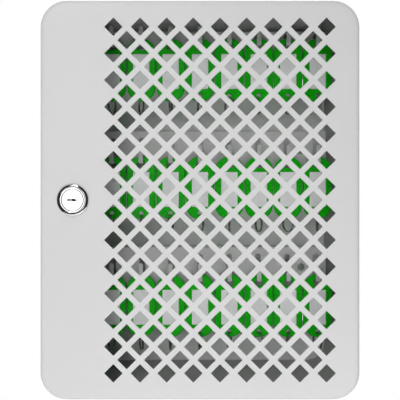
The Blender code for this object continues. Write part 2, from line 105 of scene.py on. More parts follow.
# Key tags, measured from the line each one hangs on
TAG_LIFT = 0.6 * MM
HOOK_HOLE_HALF_WIDTH = 3.2 * MM
HOOK_HOLE_HALF_HEIGHT = 2.8 * MM
HOOK_HOLE_CORNER = 1.2 * MM
RING_HOLE_RADIUS = 1.85 * MM
RING_HOLE_ABOVE_TIP = 5.1 * MM
TAG_EDGE = 0.9 * MM
TAG_HOLE_EDGE = 0.3 * MM
LABEL_HALF_WIDTH = 7 * MM
LABEL_HALF_HEIGHT = 14.7 * MM
LABEL_Z = -22.6 * MM
LABEL_RECESS = 0.6 * MM
LABEL_CORNER = 0.5 * MM
LABEL_HOLE_EDGE = 0.35 * MM
LABEL_STACK_GAP = 0.04 * MM
PAPER_THICKNESS = 0.12 * MM
PAPER_MARGIN = 0.35 * MM
PAPER_EDGE = 0.02 * MM
COVER_THICKNESS = 0.3 * MM
COVER_MARGIN = 0.15 * MM
COVER_EDGE = 0.08 * MM
RING_RADIUS = 7 * MM
RING_WIRE = 0.42 * MM
RING_TURN_GAP = 0.86 * MM
RING_PLAY = 0.25 * MM
RING_YAWS = (4, -16, 20, -6, 12, 24, -20, 8, -12, 16, -4)

# Hinges
HINGE_HALF_HEIGHT = 20 * MM
KNUCKLE_RADIUS = 2.4 * MM
KNUCKLE_BORE = 1.3 * MM
KNUCKLE_GAP = 0.4 * MM
LEAF_THICKNESS = 1.0 * MM
LEAF_EDGE = 0.15 * MM
PIN_DOME = 0.5 * MM

# Lock: its housing, with an inner ring and a groove round it, and its nut
BARREL_RADIUS = 9.2 * MM
PLUG_BORE = 8.4 * MM
BEZEL_CURVE = 2.3 * MM
INNER_RING_DEPTH = 0.2 * MM
INNER_RING_EDGE = 0.15 * MM
GROOVE_RADIUS = 9.45 * MM
GROOVE_HALF_WIDTH = 0.25 * MM
GROOVE_DEPTH = 0.3 * MM
GROOVE_OUTER_DEPTH = 0.12 * MM
NUT_EDGE = 0.3 * MM

# Lock: its plug, with a ring cut into the face
PLUG_RADIUS = 8.1 * MM
PLUG_LENGTH_BEHIND_DOOR_FRONT = 9.4 * MM
PLUG_EDGE = 0.2 * MM
FACE_RING_RADIUS = 7.25 * MM
FACE_RING_HALF_WIDTH = 0.2 * MM
FACE_RING_HALF_FLOOR = 0.1 * MM
FACE_RING_DEPTH = 0.12 * MM
STEM_RADIUS = 3.5 * MM
SCREW_HOLE_RADIUS = 2 * MM
SCREW_HOLE_DEPTH = 8 * MM
KEYWAY_HALF_LENGTH = 3.75 * MM
KEYWAY_HALF_WIDTH = 0.85 * MM
KEYWAY_DEPTH = 4 * MM
KEYWAY_WARD = 0.45 * MM
KEYWAY_EDGE = 0.12 * MM
# Painted shade: the dark sheet in the keyway stands this far in from its walls, starting this far behind
# the face
KEYWAY_SHADE_INSET = 0.04 * MM
KEYWAY_SHADE_START = 0.15 * MM

# Lock: its cam, washer and screw
CAM_HALF_WIDTH = 6 * MM
CAM_HOLE_RADIUS = 3.8 * MM
CAM_FRONT_EDGE = 0.25 * MM
CAM_BACK_EDGE = 0.15 * MM
WASHER_HOLE_RADIUS = 2 * MM
WASHER_EDGE = 0.12 * MM
SCREW_RADIUS = 1.7 * MM
SCREW_TIP_RADIUS = 1.4 * MM
SCREW_TIP_LENGTH = 0.5 * MM
SCREW_HEAD_HEIGHT = 2.2 * MM
SCREW_DOME = 1.2 * MM
CROSS_REACH = 2.1 * MM
CROSS_HALF_WIDTH = 0.45 * MM
CROSS_DEPTH = 1.2 * MM
CROSS_TAPER = 0.6

# Smoothness
CORNER_STEPS = 14
BEND_STEPS = 8
EDGE_STEPS = 3
SMALL_CORNER_STEPS = 3
WINDOW_CORNER_STEPS = 4
HALF_ROUND_STEPS = 6
DOME_STEPS = 4
POST_HEAD_STEPS = 6
BEZEL_STEPS = 9
SLOT_STEPS = 12
CAM_STEPS = 20
TAG_STEPS = 24
TAG_EDGE_STEPS = 5
RING_STEPS = 88
WIRE_STEPS = 10
ROUND_STEPS = 64
SMALL_STEPS = 32
SHARP_ANGLE = math.radians(40)
FLAT_NORMAL = 0.9999
SMALLEST_RADIUS = 0.01 * MM

# Finishes
NOISE_LOW = 0.3
NOISE_HIGH = 0.7
COAT_DRIFT_SIZE = 60 * MM
COAT_SPECK_SHADE = 0.93
ORANGE_PEEL_SIZE = 2.2 * MM
ORANGE_PEEL_DEPTH = 0.08 * MM

# Camera: level with the cabinet's centre, this far in front of the door, with a lens in millimetres
CAMERA_DISTANCE = 350 * MM
CAMERA_LENS = 42.02

# Studio
FLOOR_Z = -0.6
FLOOR_RADIUS = 0.85
LAMP_DISTANCE = 1.5
TOP_LAMP_Y = 0.7
LOW_LAMP_PLACE = (0.15, -0.75, -0.5)

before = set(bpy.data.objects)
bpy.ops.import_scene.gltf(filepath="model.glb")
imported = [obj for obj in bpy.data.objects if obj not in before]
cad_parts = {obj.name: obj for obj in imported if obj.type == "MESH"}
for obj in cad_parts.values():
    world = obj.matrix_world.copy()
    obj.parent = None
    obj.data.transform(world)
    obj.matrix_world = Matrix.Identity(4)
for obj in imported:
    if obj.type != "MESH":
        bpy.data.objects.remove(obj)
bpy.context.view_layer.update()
DOOR_LOW, DOOR_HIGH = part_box("door_panel")
SHELL_LOW, SHELL_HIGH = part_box("cabinet_shell")
LOCK_LOW, LOCK_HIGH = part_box("lock_housing")
LOCK_X = (LOCK_LOW.x + LOCK_HIGH.x) / 2


# Outlines

def quarter_turn(steps):
    """Angles from nothing to a quarter turn."""
    return [math.pi / 2 * i / steps for i in range(steps + 1)]


def half_turn(steps):
    return [math.pi * i / steps for i in range(steps + 1)]


def arc(centre_x, centre_z, radius, start, sweep, steps):
    angles = [math.radians(start + sweep * i / steps) for i in range(steps + 1)]
    return [(centre_x + radius * math.cos(a), centre_z + radius * math.sin(a)) for a in angles]


def circle(centre_x, centre_z, radius, steps=SMALL_STEPS):
    return arc(centre_x, centre_z, radius, 0, 360, steps)[:-1]


def rounded_rectangle(half_width, half_height, radius, steps, centre=(0, 0)):
    points = []
    for side, end, start in ((1, 1, 0), (-1, 1, 90), (-1, -1, 180), (1, -1, 270)):
        x = centre[0] + side * (half_width - radius)
        z = centre[1] + end * (half_height - radius)
        points += arc(x, z, radius, start, 90, steps)
    return points


def round_plate_outline(half_width, half_height, radius):
    """The outside of a rounded rectangle: an offset shrinks it."""
    return lambda offset: rounded_rectangle(half_width - offset, half_height - offset,
                                            radius - offset, CORNER_STEPS)


def round_hole(x, z, radius, steps=SMALL_STEPS):
    """A round hole: an offset widens it."""
    return lambda offset: circle(x, z, radius + offset, steps)


def square_hole(half_width, half_height, radius, centre):
    """A rectangular hole with rounded corners: an offset widens it."""
    return lambda offset: rounded_rectangle(half_width + offset, half_height + offset,
                                            radius + offset, WINDOW_CORNER_STEPS, centre)


def diamond_hole(x, z):
    """A square hole that stands on one corner, with its corners a little rounded."""
    reach = (HOLE_SIDE / 2 - HOLE_CORNER) * math.sqrt(2)

    def outline(offset):
        points = []
        for turn in (0, 90, 180, 270):
            corner_x = x + reach * math.cos(math.radians(turn))
            corner_z = z + reach * math.sin(math.radians(turn))
            points += arc(corner_x, corner_z, HOLE_CORNER + offset, turn - 45, 90, SMALL_CORNER_STEPS)
        return points

    return outline


def edge_profile(front, back, front_radius, back_radius, steps=EDGE_STEPS):
    """(offset, y) down a sheet's edge, rolled over at the front and at the back."""
    profile = []
    for turn in quarter_turn(steps):
        profile.append((front_radius * (1 - math.sin(turn)), front + front_radius * (1 - math.cos(turn))))
    for turn in quarter_turn(steps):
        profile.append((back_radius * (1 - math.cos(turn)), back - back_radius * (1 - math.sin(turn))))
    return profile


# Mesh building

def loop_at(bm, points, y):
    return [bm.verts.new((x, y, z)) for x, z in points]


def bridge(bm, first, second):
    for i in range(len(first)):
        bm.faces.new((first[i - 1], first[i], second[i], second[i - 1]))


def bridge_all(bm, loops):
    for i in range(1, len(loops)):
        bridge(bm, loops[i - 1], loops[i])


def fill(bm, loops):
    """Fill the area inside the first loop and outside the others."""
    edges = []
    for loop in loops:
        for i in range(len(loop)):
            edges.append(bm.edges.get((loop[i - 1], loop[i])) or bm.edges.new((loop[i - 1], loop[i])))
    bmesh.ops.triangle_fill(bm, edges=edges, use_beauty=True)


def rolled_wall(bm, outline, profile):
    """Carry one outline down an edge profile; return its front and back rims."""
    loops = [loop_at(bm, outline(offset), y) for offset, y in profile]
    bridge_all(bm, loops)
    return loops[0], loops[-1]


def add_plate(bm, outlines, profiles):
    """A sheet across Y. The first outline is its outside and the others are its holes."""
    rims = [rolled_wall(bm, outline, profile) for outline, profile in zip(outlines, profiles)]
    fill(bm, [front for front, back in rims])
    fill(bm, [back for front, back in rims])


def add_turned(bm, profile, centre, axis="Y", steps=ROUND_STEPS, closed=False):
    """Turn (radius, distance) points about a line along Y or Z. A radius of 0 closes an end."""
    loops = []
    for radius, along in profile:
        ring = []
        for x, z in circle(0, 0, max(radius, SMALLEST_RADIUS), steps):
            if axis == "Y":
                ring.append(bm.verts.new((centre[0] + x, along, centre[2] + z)))
            else:
                ring.append(bm.verts.new((centre[0] + x, centre[1] + z, along)))
        loops.append(ring)
    bridge_all(bm, loops)
    if closed:
        bridge(bm, loops[-1], loops[0])
    else:
        bm.faces.new(loops[0])
        bm.faces.new(loops[-1])


def add_box(bm, low, high, edge):
    """A box with its edges rolled over."""
    made = bmesh.ops.create_cube(bm, size=1.0)["verts"]
    size = Vector(high) - Vector(low)
    centre = (Vector(high) + Vector(low)) / 2
    for vertex in made:
        vertex.co = Vector(vertex.co[i] * size[i] + centre[i] for i in range(3))
    edges = list(dict.fromkeys(side for vertex in made for side in vertex.link_edges))
    bmesh.ops.bevel(bm, geom=edges, offset=edge, segments=2, profile=0.5, affect="EDGES")


def add_sweep(bm, stations):
    """Skin a run of closed loops of points and close both ends."""
    loops = [[bm.verts.new(point) for point in station] for station in stations]
    bridge_all(bm, loops)
    bm.faces.new(loops[0])
    bm.faces.new(loops[-1])


def mesh_from(bm, name):
    """Finish a mesh: smooth, but crisp at its corners and round each flat face."""
    bmesh.ops.recalc_face_normals(bm, faces=bm.faces)
    for face in bm.faces:
        face.smooth = True
    for edge in bm.edges:
        if len(edge.link_faces) != 2:
            continue
        flat = [abs(face.normal.y) > FLAT_NORMAL for face in edge.link_faces]
        edge.smooth = flat[0] == flat[1] and edge.calc_face_angle(0) < SHARP_ANGLE
    mesh = bpy.data.meshes.new(name)
    bm.to_mesh(mesh)
    bm.free()
    return mesh


def place(name, mesh, material, body, nodes=(), origin=(0, 0, 0)):
    """Make a piece, put it on its body and hide the CAD nodes it stands for."""
    piece = bpy.data.objects.new(name, mesh)
    piece.location = origin
    bpy.context.collection.objects.link(piece)
    if not mesh.materials:
        mesh.materials.append(material)
    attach(piece, body)
    if nodes:
        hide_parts(*nodes)


# Materials

class Finish:
    """A Principled material that detail is added to, in object coordinates."""

    def __init__(self, name, roughness, metallic=0.0):
        self.material = bpy.data.materials.new(name)
        self.material.use_nodes = True
        self.tree = self.material.node_tree
        self.shader = self.tree.nodes["Principled BSDF"]
        self.shader.inputs["Metallic"].default_value = metallic
        self.shader.inputs["Roughness"].default_value = roughness
        self.where = self.tree.nodes.new("ShaderNodeTexCoord").outputs["Object"]
        self.bump = None

    def noise(self, size, detail=3.0, stretch=(1, 1, 1)):
        """Noise whose blotches are about this many metres across."""
        mapping = self.tree.nodes.new("ShaderNodeMapping")
        mapping.inputs["Scale"].default_value = stretch
        self.tree.links.new(self.where, mapping.inputs["Vector"])
        node = self.tree.nodes.new("ShaderNodeTexNoise")
        node.inputs["Scale"].default_value = 1 / size
        node.inputs["Detail"].default_value = detail
        self.tree.links.new(mapping.outputs["Vector"], node.inputs["Vector"])
        return node.outputs["Fac"]

    def spread(self, value, low, high):
        """Map the range that noise mostly keeps to, to another range."""
        node = self.tree.nodes.new("ShaderNodeMapRange")
        node.inputs["From Min"].default_value = NOISE_LOW
        node.inputs["From Max"].default_value = NOISE_HIGH
        node.inputs["To Min"].default_value = low
        node.inputs["To Max"].default_value = high
        self.tree.links.new(value, node.inputs["Value"])
        return node.outputs["Result"]

    def mix(self, factor, first, second):
        """Blend two colours, each a colour or another mix."""
        node = self.tree.nodes.new("ShaderNodeMix")
        node.data_type = "RGBA"
        self.tree.links.new(factor, node.inputs["Factor"])
        for socket, colour in ((node.inputs[6], first), (node.inputs[7], second)):
            if isinstance(colour, tuple):
                socket.default_value = (*colour, 1.0)
            else:
                self.tree.links.new(colour, socket)
        return node.outputs[2]

    def colour(self, value):
        self.tree.links.new(value, self.shader.inputs["Base Color"])

    def roughness(self, value):
        self.tree.links.new(value, self.shader.inputs["Roughness"])

    def relief(self, height, distance, strength):
        """Add a layer of bump over the ones before it."""
        node = self.tree.nodes.new("ShaderNodeBump")
        node.inputs["Distance"].default_value = distance
        node.inputs["Strength"].default_value = strength
        self.tree.links.new(height, node.inputs["Height"])
        if self.bump:
            self.tree.links.new(self.bump, node.inputs["Normal"])
        self.bump = node.outputs["Normal"]
        self.tree.links.new(self.bump, self.shader.inputs["Normal"])


def grey(level):
    return (level, level, level)


def powder_coat(name, light, dark, roughness, grain, grain_depth):
    """Cured powder: slow drifts of tone, fine grain, and the ripple called orange peel."""
    finish = Finish(name, roughness)
    drift = finish.noise(COAT_DRIFT_SIZE, detail=2)
    speck = finish.noise(grain, detail=4)
    tone = finish.mix(finish.spread(drift, 0.2, 0.8), dark, light)
    deeper = tuple(COAT_SPECK_SHADE * channel for channel in dark)
    finish.colour(finish.mix(finish.spread(speck, 0.35, 0.0), tone, deeper))
    finish.roughness(finish.spread(finish.noise(8 * MM), roughness - 0.05, roughness + 0.07))
    finish.relief(finish.noise(ORANGE_PEEL_SIZE, detail=1), ORANGE_PEEL_DEPTH, 0.5)
    finish.relief(speck, grain_depth, 0.5)
    return finish.material


def plated_metal(name, bright, dull, smooth, rough, scratch_depth):
    """Plating: blotches of tone, and long fine scratches that catch the light."""
    finish = Finish(name, rough, metallic=1.0)
    blotch = finish.noise(3 * MM, detail=4)
    scratch = finish.noise(0.5 * MM, detail=3, stretch=(0.15, 1, 1))
    finish.colour(finish.mix(finish.spread(blotch, 0, 1), dull, bright))
    finish.roughness(finish.spread(scratch, smooth, rough))
    finish.relief(scratch, scratch_depth, 0.4)
    return finish.material


def moulded_plastic():
    finish = Finish("green_moulded_plastic", 0.3)
    drift = finish.noise(9 * MM, detail=2)
    finish.colour(finish.mix(finish.spread(drift, 0, 1), (0.003, 0.32, 0.003), (0.005, 0.39, 0.004)))
    finish.shader.inputs["Specular IOR Level"].default_value = 0.3
    finish.roughness(finish.spread(finish.noise(1.5 * MM), 0.2, 0.36))
    finish.relief(finish.noise(0.35 * MM, detail=2), 0.01 * MM, 0.5)
    finish.relief(finish.noise(6 * MM, detail=1), 0.06 * MM, 0.4)
    return finish.material


def keyway_shade_paint():
    """Painted shade: a near-black finish, in small blotches, for the sheet laid inside the keyway where
    there is only shade.
    """
    finish = Finish("keyway_shade_paint", 0.7)
    blotch = finish.noise(0.8 * MM, detail=3)
    finish.colour(finish.mix(finish.spread(blotch, 0, 1), (0.006, 0.006, 0.006), (0.014, 0.013, 0.012)))
    finish.roughness(finish.spread(blotch, 0.55, 0.85))
    return finish.material


def label_paper():
    finish = Finish("label_paper", 0.85)
    fibre = finish.noise(0.6 * MM, detail=5, stretch=(1, 1, 0.4))
    finish.colour(finish.mix(finish.spread(fibre, 0, 1), (0.66, 0.66, 0.67), (0.74, 0.74, 0.74)))
    finish.relief(fibre, 0.02 * MM, 0.5)
    return finish.material


def clear_cover():
    finish = Finish("clear_label_cover", 0.12)
    finish.shader.inputs["Base Color"].default_value = (0.9, 0.92, 0.92, 1)
    finish.shader.inputs["Alpha"].default_value = 0.14
    finish.roughness(finish.spread(finish.noise(4 * MM), 0.08, 0.2))
    finish.relief(finish.noise(7 * MM, detail=1), 0.05 * MM, 0.4)
    return finish.material


def floor_paint():
    finish = Finish("pale_floor", 0.6)
    finish.colour(finish.mix(finish.noise(0.3, detail=3), (0.78, 0.78, 0.78), (0.84, 0.84, 0.84)))
    return finish.material


# Door

def hole_outlines():
    """The perforation: long rows and, between them, rows with one hole fewer."""
    outlines = []
    for row in range(2 * LONG_ROWS - 1):
        short = row % 2
        first_x = FIRST_HOLE_X + short * HOLE_PITCH / 2
        z = TOP_ROW_Z - row * HOLE_PITCH / 2
        for i in range(HOLES_IN_LONG_ROW - short):
            outlines.append(diamond_hole(first_x + i * HOLE_PITCH, z))
    return outlines


def bend_section(front, thickness):
    """(inset, y) round the door's shallow edge bend, at this depth into the sheet."""
    across = DOOR_BEND - thickness
    back = DOOR_BEND_DEPTH - thickness
    return [(DOOR_BEND - across * math.sin(turn), front + DOOR_BEND_DEPTH - back * math.cos(turn))
            for turn in quarter_turn(BEND_STEPS)]


def build_door(paint):
    """A perforated face whose edge rolls back into a short flange."""
    bm = bmesh.new()
    half_width = DOOR_HIGH.x
    half_height = DOOR_HIGH.z
    front = DOOR_LOW.y
    back = DOOR_HIGH.y
    outline = round_plate_outline(half_width, half_height, DOOR_CORNER)
    half = DOOR_SHEET / 2
    section = bend_section(front, thickness=0)
    section += [(half * (1 - math.cos(turn)), back + half * (math.sin(turn) - 1))
                for turn in half_turn(HALF_ROUND_STEPS)]
    section += reversed(bend_section(front, thickness=DOOR_SHEET))
    front_rim, back_rim = rolled_wall(bm, outline, section)
    punched = edge_profile(front, front + DOOR_SHEET, PUNCHED_EDGE, SHEET_EDGE)
    rims = [rolled_wall(bm, hole, punched) for hole in hole_outlines()]
    lock_hole = round_hole(LOCK_X, 0, BARREL_RADIUS + FIT_GAP, ROUND_STEPS)
    rims.append(rolled_wall(bm, lock_hole, punched))
    fill(bm, [front_rim] + [rim for rim, _ in rims])
    fill(bm, [back_rim] + [rim for _, rim in rims])
    place("door_panel_finished", mesh_from(bm, "door"), paint, "door", ["door_panel"])


# Shell and back

def build_shell(paint):
    """The walls, with a lip folded inwards round the front."""
    bm = bmesh.new()
    outline = round_plate_outline(SHELL_HIGH.x, SHELL_HIGH.z, SHELL_CORNER)
    front = SHELL_LOW.y
    lip = SHELL_SHEET + SHELL_LIP
    half = SHELL_SHEET / 2
    inner_bend = SHELL_BEND - SHELL_SHEET
    section = [(0.0, -SHEET_EDGE), (SHEET_EDGE, 0.0),
               (SHELL_SHEET - SHEET_EDGE, 0.0), (SHELL_SHEET, -SHEET_EDGE)]
    for turn in reversed(quarter_turn(BEND_STEPS)):
        section.append((SHELL_BEND - inner_bend * math.sin(turn),
                        front + SHELL_BEND - inner_bend * math.cos(turn)))
    for turn in half_turn(HALF_ROUND_STEPS):
        section.append((lip - half + half * math.sin(turn), front + half + half * math.cos(turn)))
    for turn in quarter_turn(BEND_STEPS):
        section.append((SHELL_BEND * (1 - math.sin(turn)), front + SHELL_BEND * (1 - math.cos(turn))))
    loops = [loop_at(bm, outline(inset), y) for inset, y in section]
    bridge_all(bm, loops + [loops[0]])
    place("cabinet_shell_finished", mesh_from(bm, "shell"), paint, "cabinet", ["cabinet_shell"])


def build_back_panel(paint):
    low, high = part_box("back_panel")
    radius = SHELL_CORNER - (SHELL_HIGH.x - high.x)
    outlines = [round_plate_outline(high.x, high.z, radius)]
    outlines += [round_hole(x, z, WALL_HOLE_RADIUS)
                 for x in (-WALL_HOLE_X, WALL_HOLE_X) for z in (-WALL_HOLE_Z, WALL_HOLE_Z)]
    bm = bmesh.new()
    profile = edge_profile(low.y, high.y, SHEET_EDGE, SHEET_EDGE)
    add_plate(bm, outlines, [profile] * len(outlines))
    place("back_panel_finished", mesh_from(bm, "back"), paint, "cabinet", ["back_panel"])


# Rails, hooks and posts

def row_height(row):
    return (1 - row) * ROW_PITCH


def hook_positions():
    return [(i - (HOOK_COUNT - 1) / 2) * HOOK_PITCH for i in range(HOOK_COUNT)]


def hook_stations(x, shank_z, rail_front):
    """Sections of a strip that leaves the rail, turns up and ends in a round tip."""
    finger_y = rail_front - FINGER_BEFORE_RAIL
    bend_y = finger_y + HOOK_BEND
    bend_z = shank_z + HOOK_BEND
    tip_z = shank_z + FINGER_RISE - HOOK_HALF_WIDTH
    path = [(rail_front + RAIL_SHEET / 2, shank_z, 90, HOOK_HALF_WIDTH)]
    for step in range(BEND_STEPS + 1):
        turn = 90 * step / BEND_STEPS
        y = bend_y - HOOK_BEND * math.sin(math.radians(turn))
        z = bend_z - HOOK_BEND * math.cos(math.radians(turn))
        path.append((y, z, 90 - turn, HOOK_HALF_WIDTH))
    for step in range(BEND_STEPS + 1):
        turn = math.radians(HOOK_TIP_SWEEP * step / BEND_STEPS)
        tip_half_width = HOOK_HALF_WIDTH * math.cos(turn)
        path.append((finger_y, tip_z + HOOK_HALF_WIDTH * math.sin(turn), 0, tip_half_width))
    stations = []
    for y, z, across, half_width in path:
        roll = min(HOOK_EDGE, half_width)
        section = rounded_rectangle(half_width, RAIL_SHEET / 2, roll, SMALL_CORNER_STEPS)
        cos = math.cos(math.radians(across))
        sin = math.sin(math.radians(across))
        stations.append([(x + side, y + thick * cos, z + thick * sin) for side, thick in section])
    return stations


def slot_outline(x, bottom, top):
    """A slot with a round top and small corners at its bottom."""

    def outline(offset):
        radius = SLOT_CORNER + offset
        points = arc(x, top - SLOT_HALF_WIDTH, SLOT_HALF_WIDTH + offset, 0, 180, SLOT_STEPS)
        for side, start in ((-1, 180), (1, 270)):
            corner_x = x + side * (SLOT_HALF_WIDTH - SLOT_CORNER)
            points += arc(corner_x, bottom + SLOT_CORNER, radius, start, 90, SMALL_CORNER_STEPS)
        return points

    return outline


def add_flange(bm, outer_edge, inner_edge, front, back, web_z, way):
    """Bend one edge of a rail's web back into a flange. An edge is its right and left points."""
    end_places = [point.co.x for point in outer_edge]
    outer = [outer_edge]
    inner = [inner_edge]
    faces = ((RAIL_BEND, outer), (RAIL_BEND - RAIL_SHEET, inner))
    for turn in quarter_turn(BEND_STEPS)[1:]:
        for radius, rows in faces:
            y = front + RAIL_BEND - radius * math.cos(turn)
            z = web_z + way * radius * math.sin(turn)
            rows.append([bm.verts.new((x, y, z)) for x in end_places])
    for radius, rows in faces:
        rows.append([bm.verts.new((x, back, web_z + way * radius)) for x in end_places])
    for i in range(1, len(outer)):
        for rows in (outer, inner):
            bm.faces.new((rows[i - 1][0], rows[i - 1][1], rows[i][1], rows[i][0]))
        for end in (0, 1):
            bm.faces.new((outer[i - 1][end], outer[i][end], inner[i][end], inner[i - 1][end]))
    bm.faces.new((outer[-1][0], outer[-1][1], inner[-1][1], inner[-1][0]))


def build_rail(row_name, row_z, paint):
    """A folded channel: slotted web, flanges turned back, and nine hooks bent out of the slots."""
    low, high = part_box("hook_rail_" + row_name)
    front = low.y + RAIL_SHEET / 2 + FINGER_BEFORE_RAIL
    shank_z = row_z + SHANK_Z
    bottom = low.z
    top = rail_top(high.z, shank_z)
    half_length = high.x
    bm = bmesh.new()

    web_low = bottom + RAIL_BEND
    web_high = top - RAIL_BEND
    corners = [(half_length, web_high), (-half_length, web_high),
               (-half_length, web_low), (half_length, web_low)]
    web_front = loop_at(bm, corners, front)
    web_back = loop_at(bm, corners, front + RAIL_SHEET)
    for right, left in ((0, 3), (1, 2)):
        bm.faces.new((web_front[right], web_front[left], web_back[left], web_back[right]))
    rolled = edge_profile(front, front + RAIL_SHEET, SLOT_FRONT_EDGE, SLOT_BACK_EDGE)
    slot_top = min(shank_z + SLOT_TOP, top - SLOT_TO_RAIL_TOP)
    holes = [slot_outline(x, shank_z + SLOT_BOTTOM, slot_top) for x in hook_positions()]
    holes += [round_hole(x, (bottom + top) / 2, POST_HOLE_RADIUS) for x in (-POST_X, POST_X)]
    rims = [rolled_wall(bm, hole, rolled) for hole in holes]
    fill(bm, [web_front] + [rim for rim, _ in rims])
    fill(bm, [web_back] + [rim for _, rim in rims])

    add_flange(bm, web_front[0:2], web_back[0:2], front, high.y, web_high, way=1)
    add_flange(bm, web_front[3:1:-1], web_back[3:1:-1], front, high.y, web_low, way=-1)
    for x in hook_positions():
        add_sweep(bm, hook_stations(x, shank_z, front))
    place("hook_rail_%s_finished" % row_name, mesh_from(bm, "rail"), paint, "cabinet",
          ["hook_rail_" + row_name])


def rail_top(node_top, shank_z):
    """The top edge of a rail. On the top rail the fingers stand higher than the rail itself."""
    finger_top = shank_z + FINGER_RISE
    just_above = 0.1 * MM
    if node_top > finger_top + just_above:
        return node_top
    return SHELL_HIGH.z - SHELL_SHEET - TOP_RAIL_CLEARANCE


def build_post(node, metal):
    """A shouldered stud, riveted over in front of the rail."""
    low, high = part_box(node)
    centre = ((low.x + high.x) / 2, 0, (low.z + high.z) / 2)
    base = high.y
    foot = (high.x - low.x) / 2
    foot_front = base - POST_FOOT_THICKNESS
    rail_front = low.y + POST_HEAD_HEIGHT
    shoulder = rail_front + RAIL_SHEET + POST_SHOULDER_GAP
    profile = [(0, base), (foot, base), (foot, foot_front + POST_EDGE), (foot - POST_EDGE, foot_front),
               (POST_RADIUS + POST_EDGE, foot_front), (POST_RADIUS, foot_front - POST_EDGE),
               (POST_RADIUS, shoulder + POST_EDGE), (POST_RADIUS - POST_EDGE, shoulder),
               (POST_NECK_RADIUS, shoulder), (POST_NECK_RADIUS, rail_front)]
    for turn in quarter_turn(POST_HEAD_STEPS):
        profile.append((POST_HEAD_RADIUS * math.cos(turn), rail_front - POST_HEAD_HEIGHT * math.sin(turn)))
    bm = bmesh.new()
    add_turned(bm, profile, centre, steps=SMALL_STEPS)
    place(node + "_finished", mesh_from(bm, "post"), metal, "cabinet", [node])


# Key tags

def sheet_mesh(name, front, thickness, margin, edge):
    """A thin sheet in the label window, smaller than the window by a margin all round."""

    def outline(offset):
        return rounded_rectangle(LABEL_HALF_WIDTH - margin - offset, LABEL_HALF_HEIGHT - margin - offset,
                                 LABEL_CORNER - offset, WINDOW_CORNER_STEPS, (0, LABEL_Z))

    bm = bmesh.new()
    add_plate(bm, [outline], [edge_profile(front, front + thickness, edge, edge)])
    return mesh_from(bm, name)


def tag_meshes():
    """Tag, paper label and clear cover, all about the line the tag hangs on, and the tag's tip."""
    low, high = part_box("key_tag_middle_5")
    hang = tag_hang("middle")
    half_width = (high.x - low.x) / 2
    front = low.y - hang.y
    back = high.y - hang.y
    top = high.z - hang.z
    tip = low.z - hang.z

    def outside(offset):
        half = half_width - offset
        upper = arc(0, top - half_width, half, 0, 180, TAG_STEPS)
        return upper + arc(0, tip + half_width, half, 180, 180, TAG_STEPS)

    hook_hole = square_hole(HOOK_HOLE_HALF_WIDTH, HOOK_HOLE_HALF_HEIGHT, HOOK_HOLE_CORNER,
                            (0, TAG_LIFT - HOOK_HOLE_HALF_HEIGHT))
    ring_hole = round_hole(0, tip + RING_HOLE_ABOVE_TIP, RING_HOLE_RADIUS, TAG_STEPS)
    label_hole = square_hole(LABEL_HALF_WIDTH, LABEL_HALF_HEIGHT, LABEL_CORNER, (0, LABEL_Z))
    bm = bmesh.new()
    rims = [rolled_wall(bm, outside, edge_profile(front, back, TAG_EDGE, TAG_EDGE, TAG_EDGE_STEPS))]
    for hole in (hook_hole, ring_hole):
        rims.append(rolled_wall(bm, hole, edge_profile(front, back, TAG_HOLE_EDGE, TAG_HOLE_EDGE)))
    floor = front + LABEL_RECESS
    recess_profile = edge_profile(front, floor, LABEL_HOLE_EDGE, 0.0)[:EDGE_STEPS + 2]
    rim, recess_floor = rolled_wall(bm, label_hole, recess_profile)
    fill(bm, [recess_floor])
    fill(bm, [pair[0] for pair in rims] + [rim])
    fill(bm, [pair[1] for pair in rims])
    tag = mesh_from(bm, "key_tag")

    paper_front = floor - LABEL_STACK_GAP - PAPER_THICKNESS
    cover_front = paper_front - LABEL_STACK_GAP - COVER_THICKNESS
    label = sheet_mesh("label", paper_front, PAPER_THICKNESS, PAPER_MARGIN, PAPER_EDGE)
    cover = sheet_mesh("label_cover", cover_front, COVER_THICKNESS, COVER_MARGIN, COVER_EDGE)
    return tag, label, cover, tip


def tag_hang(row_name, number=5):
    """The point that a tag hangs from: the top of its hook's shank."""
    low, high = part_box("key_tag_%s_%d" % (row_name, number))
    row_z = row_height(ROWS.index(row_name))
    return Vector(((low.x + high.x) / 2, (low.y + high.y) / 2, row_z + SHANK_Z + RAIL_SHEET / 2))


def ring_mesh(tip, yaw):
    """A split ring of two turns that rests in the tag's lower hole, about the hanging line."""
    top = tip + RING_HOLE_ABOVE_TIP - RING_HOLE_RADIUS + RING_WIRE + RING_PLAY
    across = Vector((math.cos(math.radians(yaw)), math.sin(math.radians(yaw)), 0))
    forward = Vector((-across.y, across.x, 0))
    up = Vector((0, 0, 1))
    stations = []
    for step in range(RING_STEPS + 1):
        turn = 4 * math.pi * step / RING_STEPS
        outward = forward * math.sin(turn) - up * math.cos(turn)
        side = across * (RING_TURN_GAP * (2 * step / RING_STEPS - 1))
        centre = up * (top - RING_RADIUS) + outward * RING_RADIUS + side
        stations.append([centre + outward * (RING_WIRE * math.cos(a)) + across * (RING_WIRE * math.sin(a))
                         for a in (2 * math.pi * i / WIRE_STEPS for i in range(WIRE_STEPS))])
    bm = bmesh.new()
    add_sweep(bm, stations)
    return mesh_from(bm, "split_ring")


def build_tags(plastic, paper, cover_plastic, wire):
    tag, label, cover, tip = tag_meshes()
    rings = [ring_mesh(tip, yaw) for yaw in RING_YAWS]
    count = 0
    for row_name in ROWS:
        for number in range(1, HOOK_COUNT + 1):
            node = "key_tag_%s_%d" % (row_name, number)
            hang = tag_hang(row_name, number)
            place(node + "_finished", tag, plastic, node, [node], origin=hang)
            place(node + "_label", label, paper, node, origin=hang)
            place(node + "_cover", cover, cover_plastic, node, origin=hang)
            place(node + "_ring", rings[count % len(rings)], wire, node, origin=hang)
            count += 1


# Hinges

def hinge_axis(name):
    """A point on the pin's line, at the height of the cabinet's centre."""
    low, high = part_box(name + "_pin")
    return ((low.x + high.x) / 2, (low.y + high.y) / 2, 0)


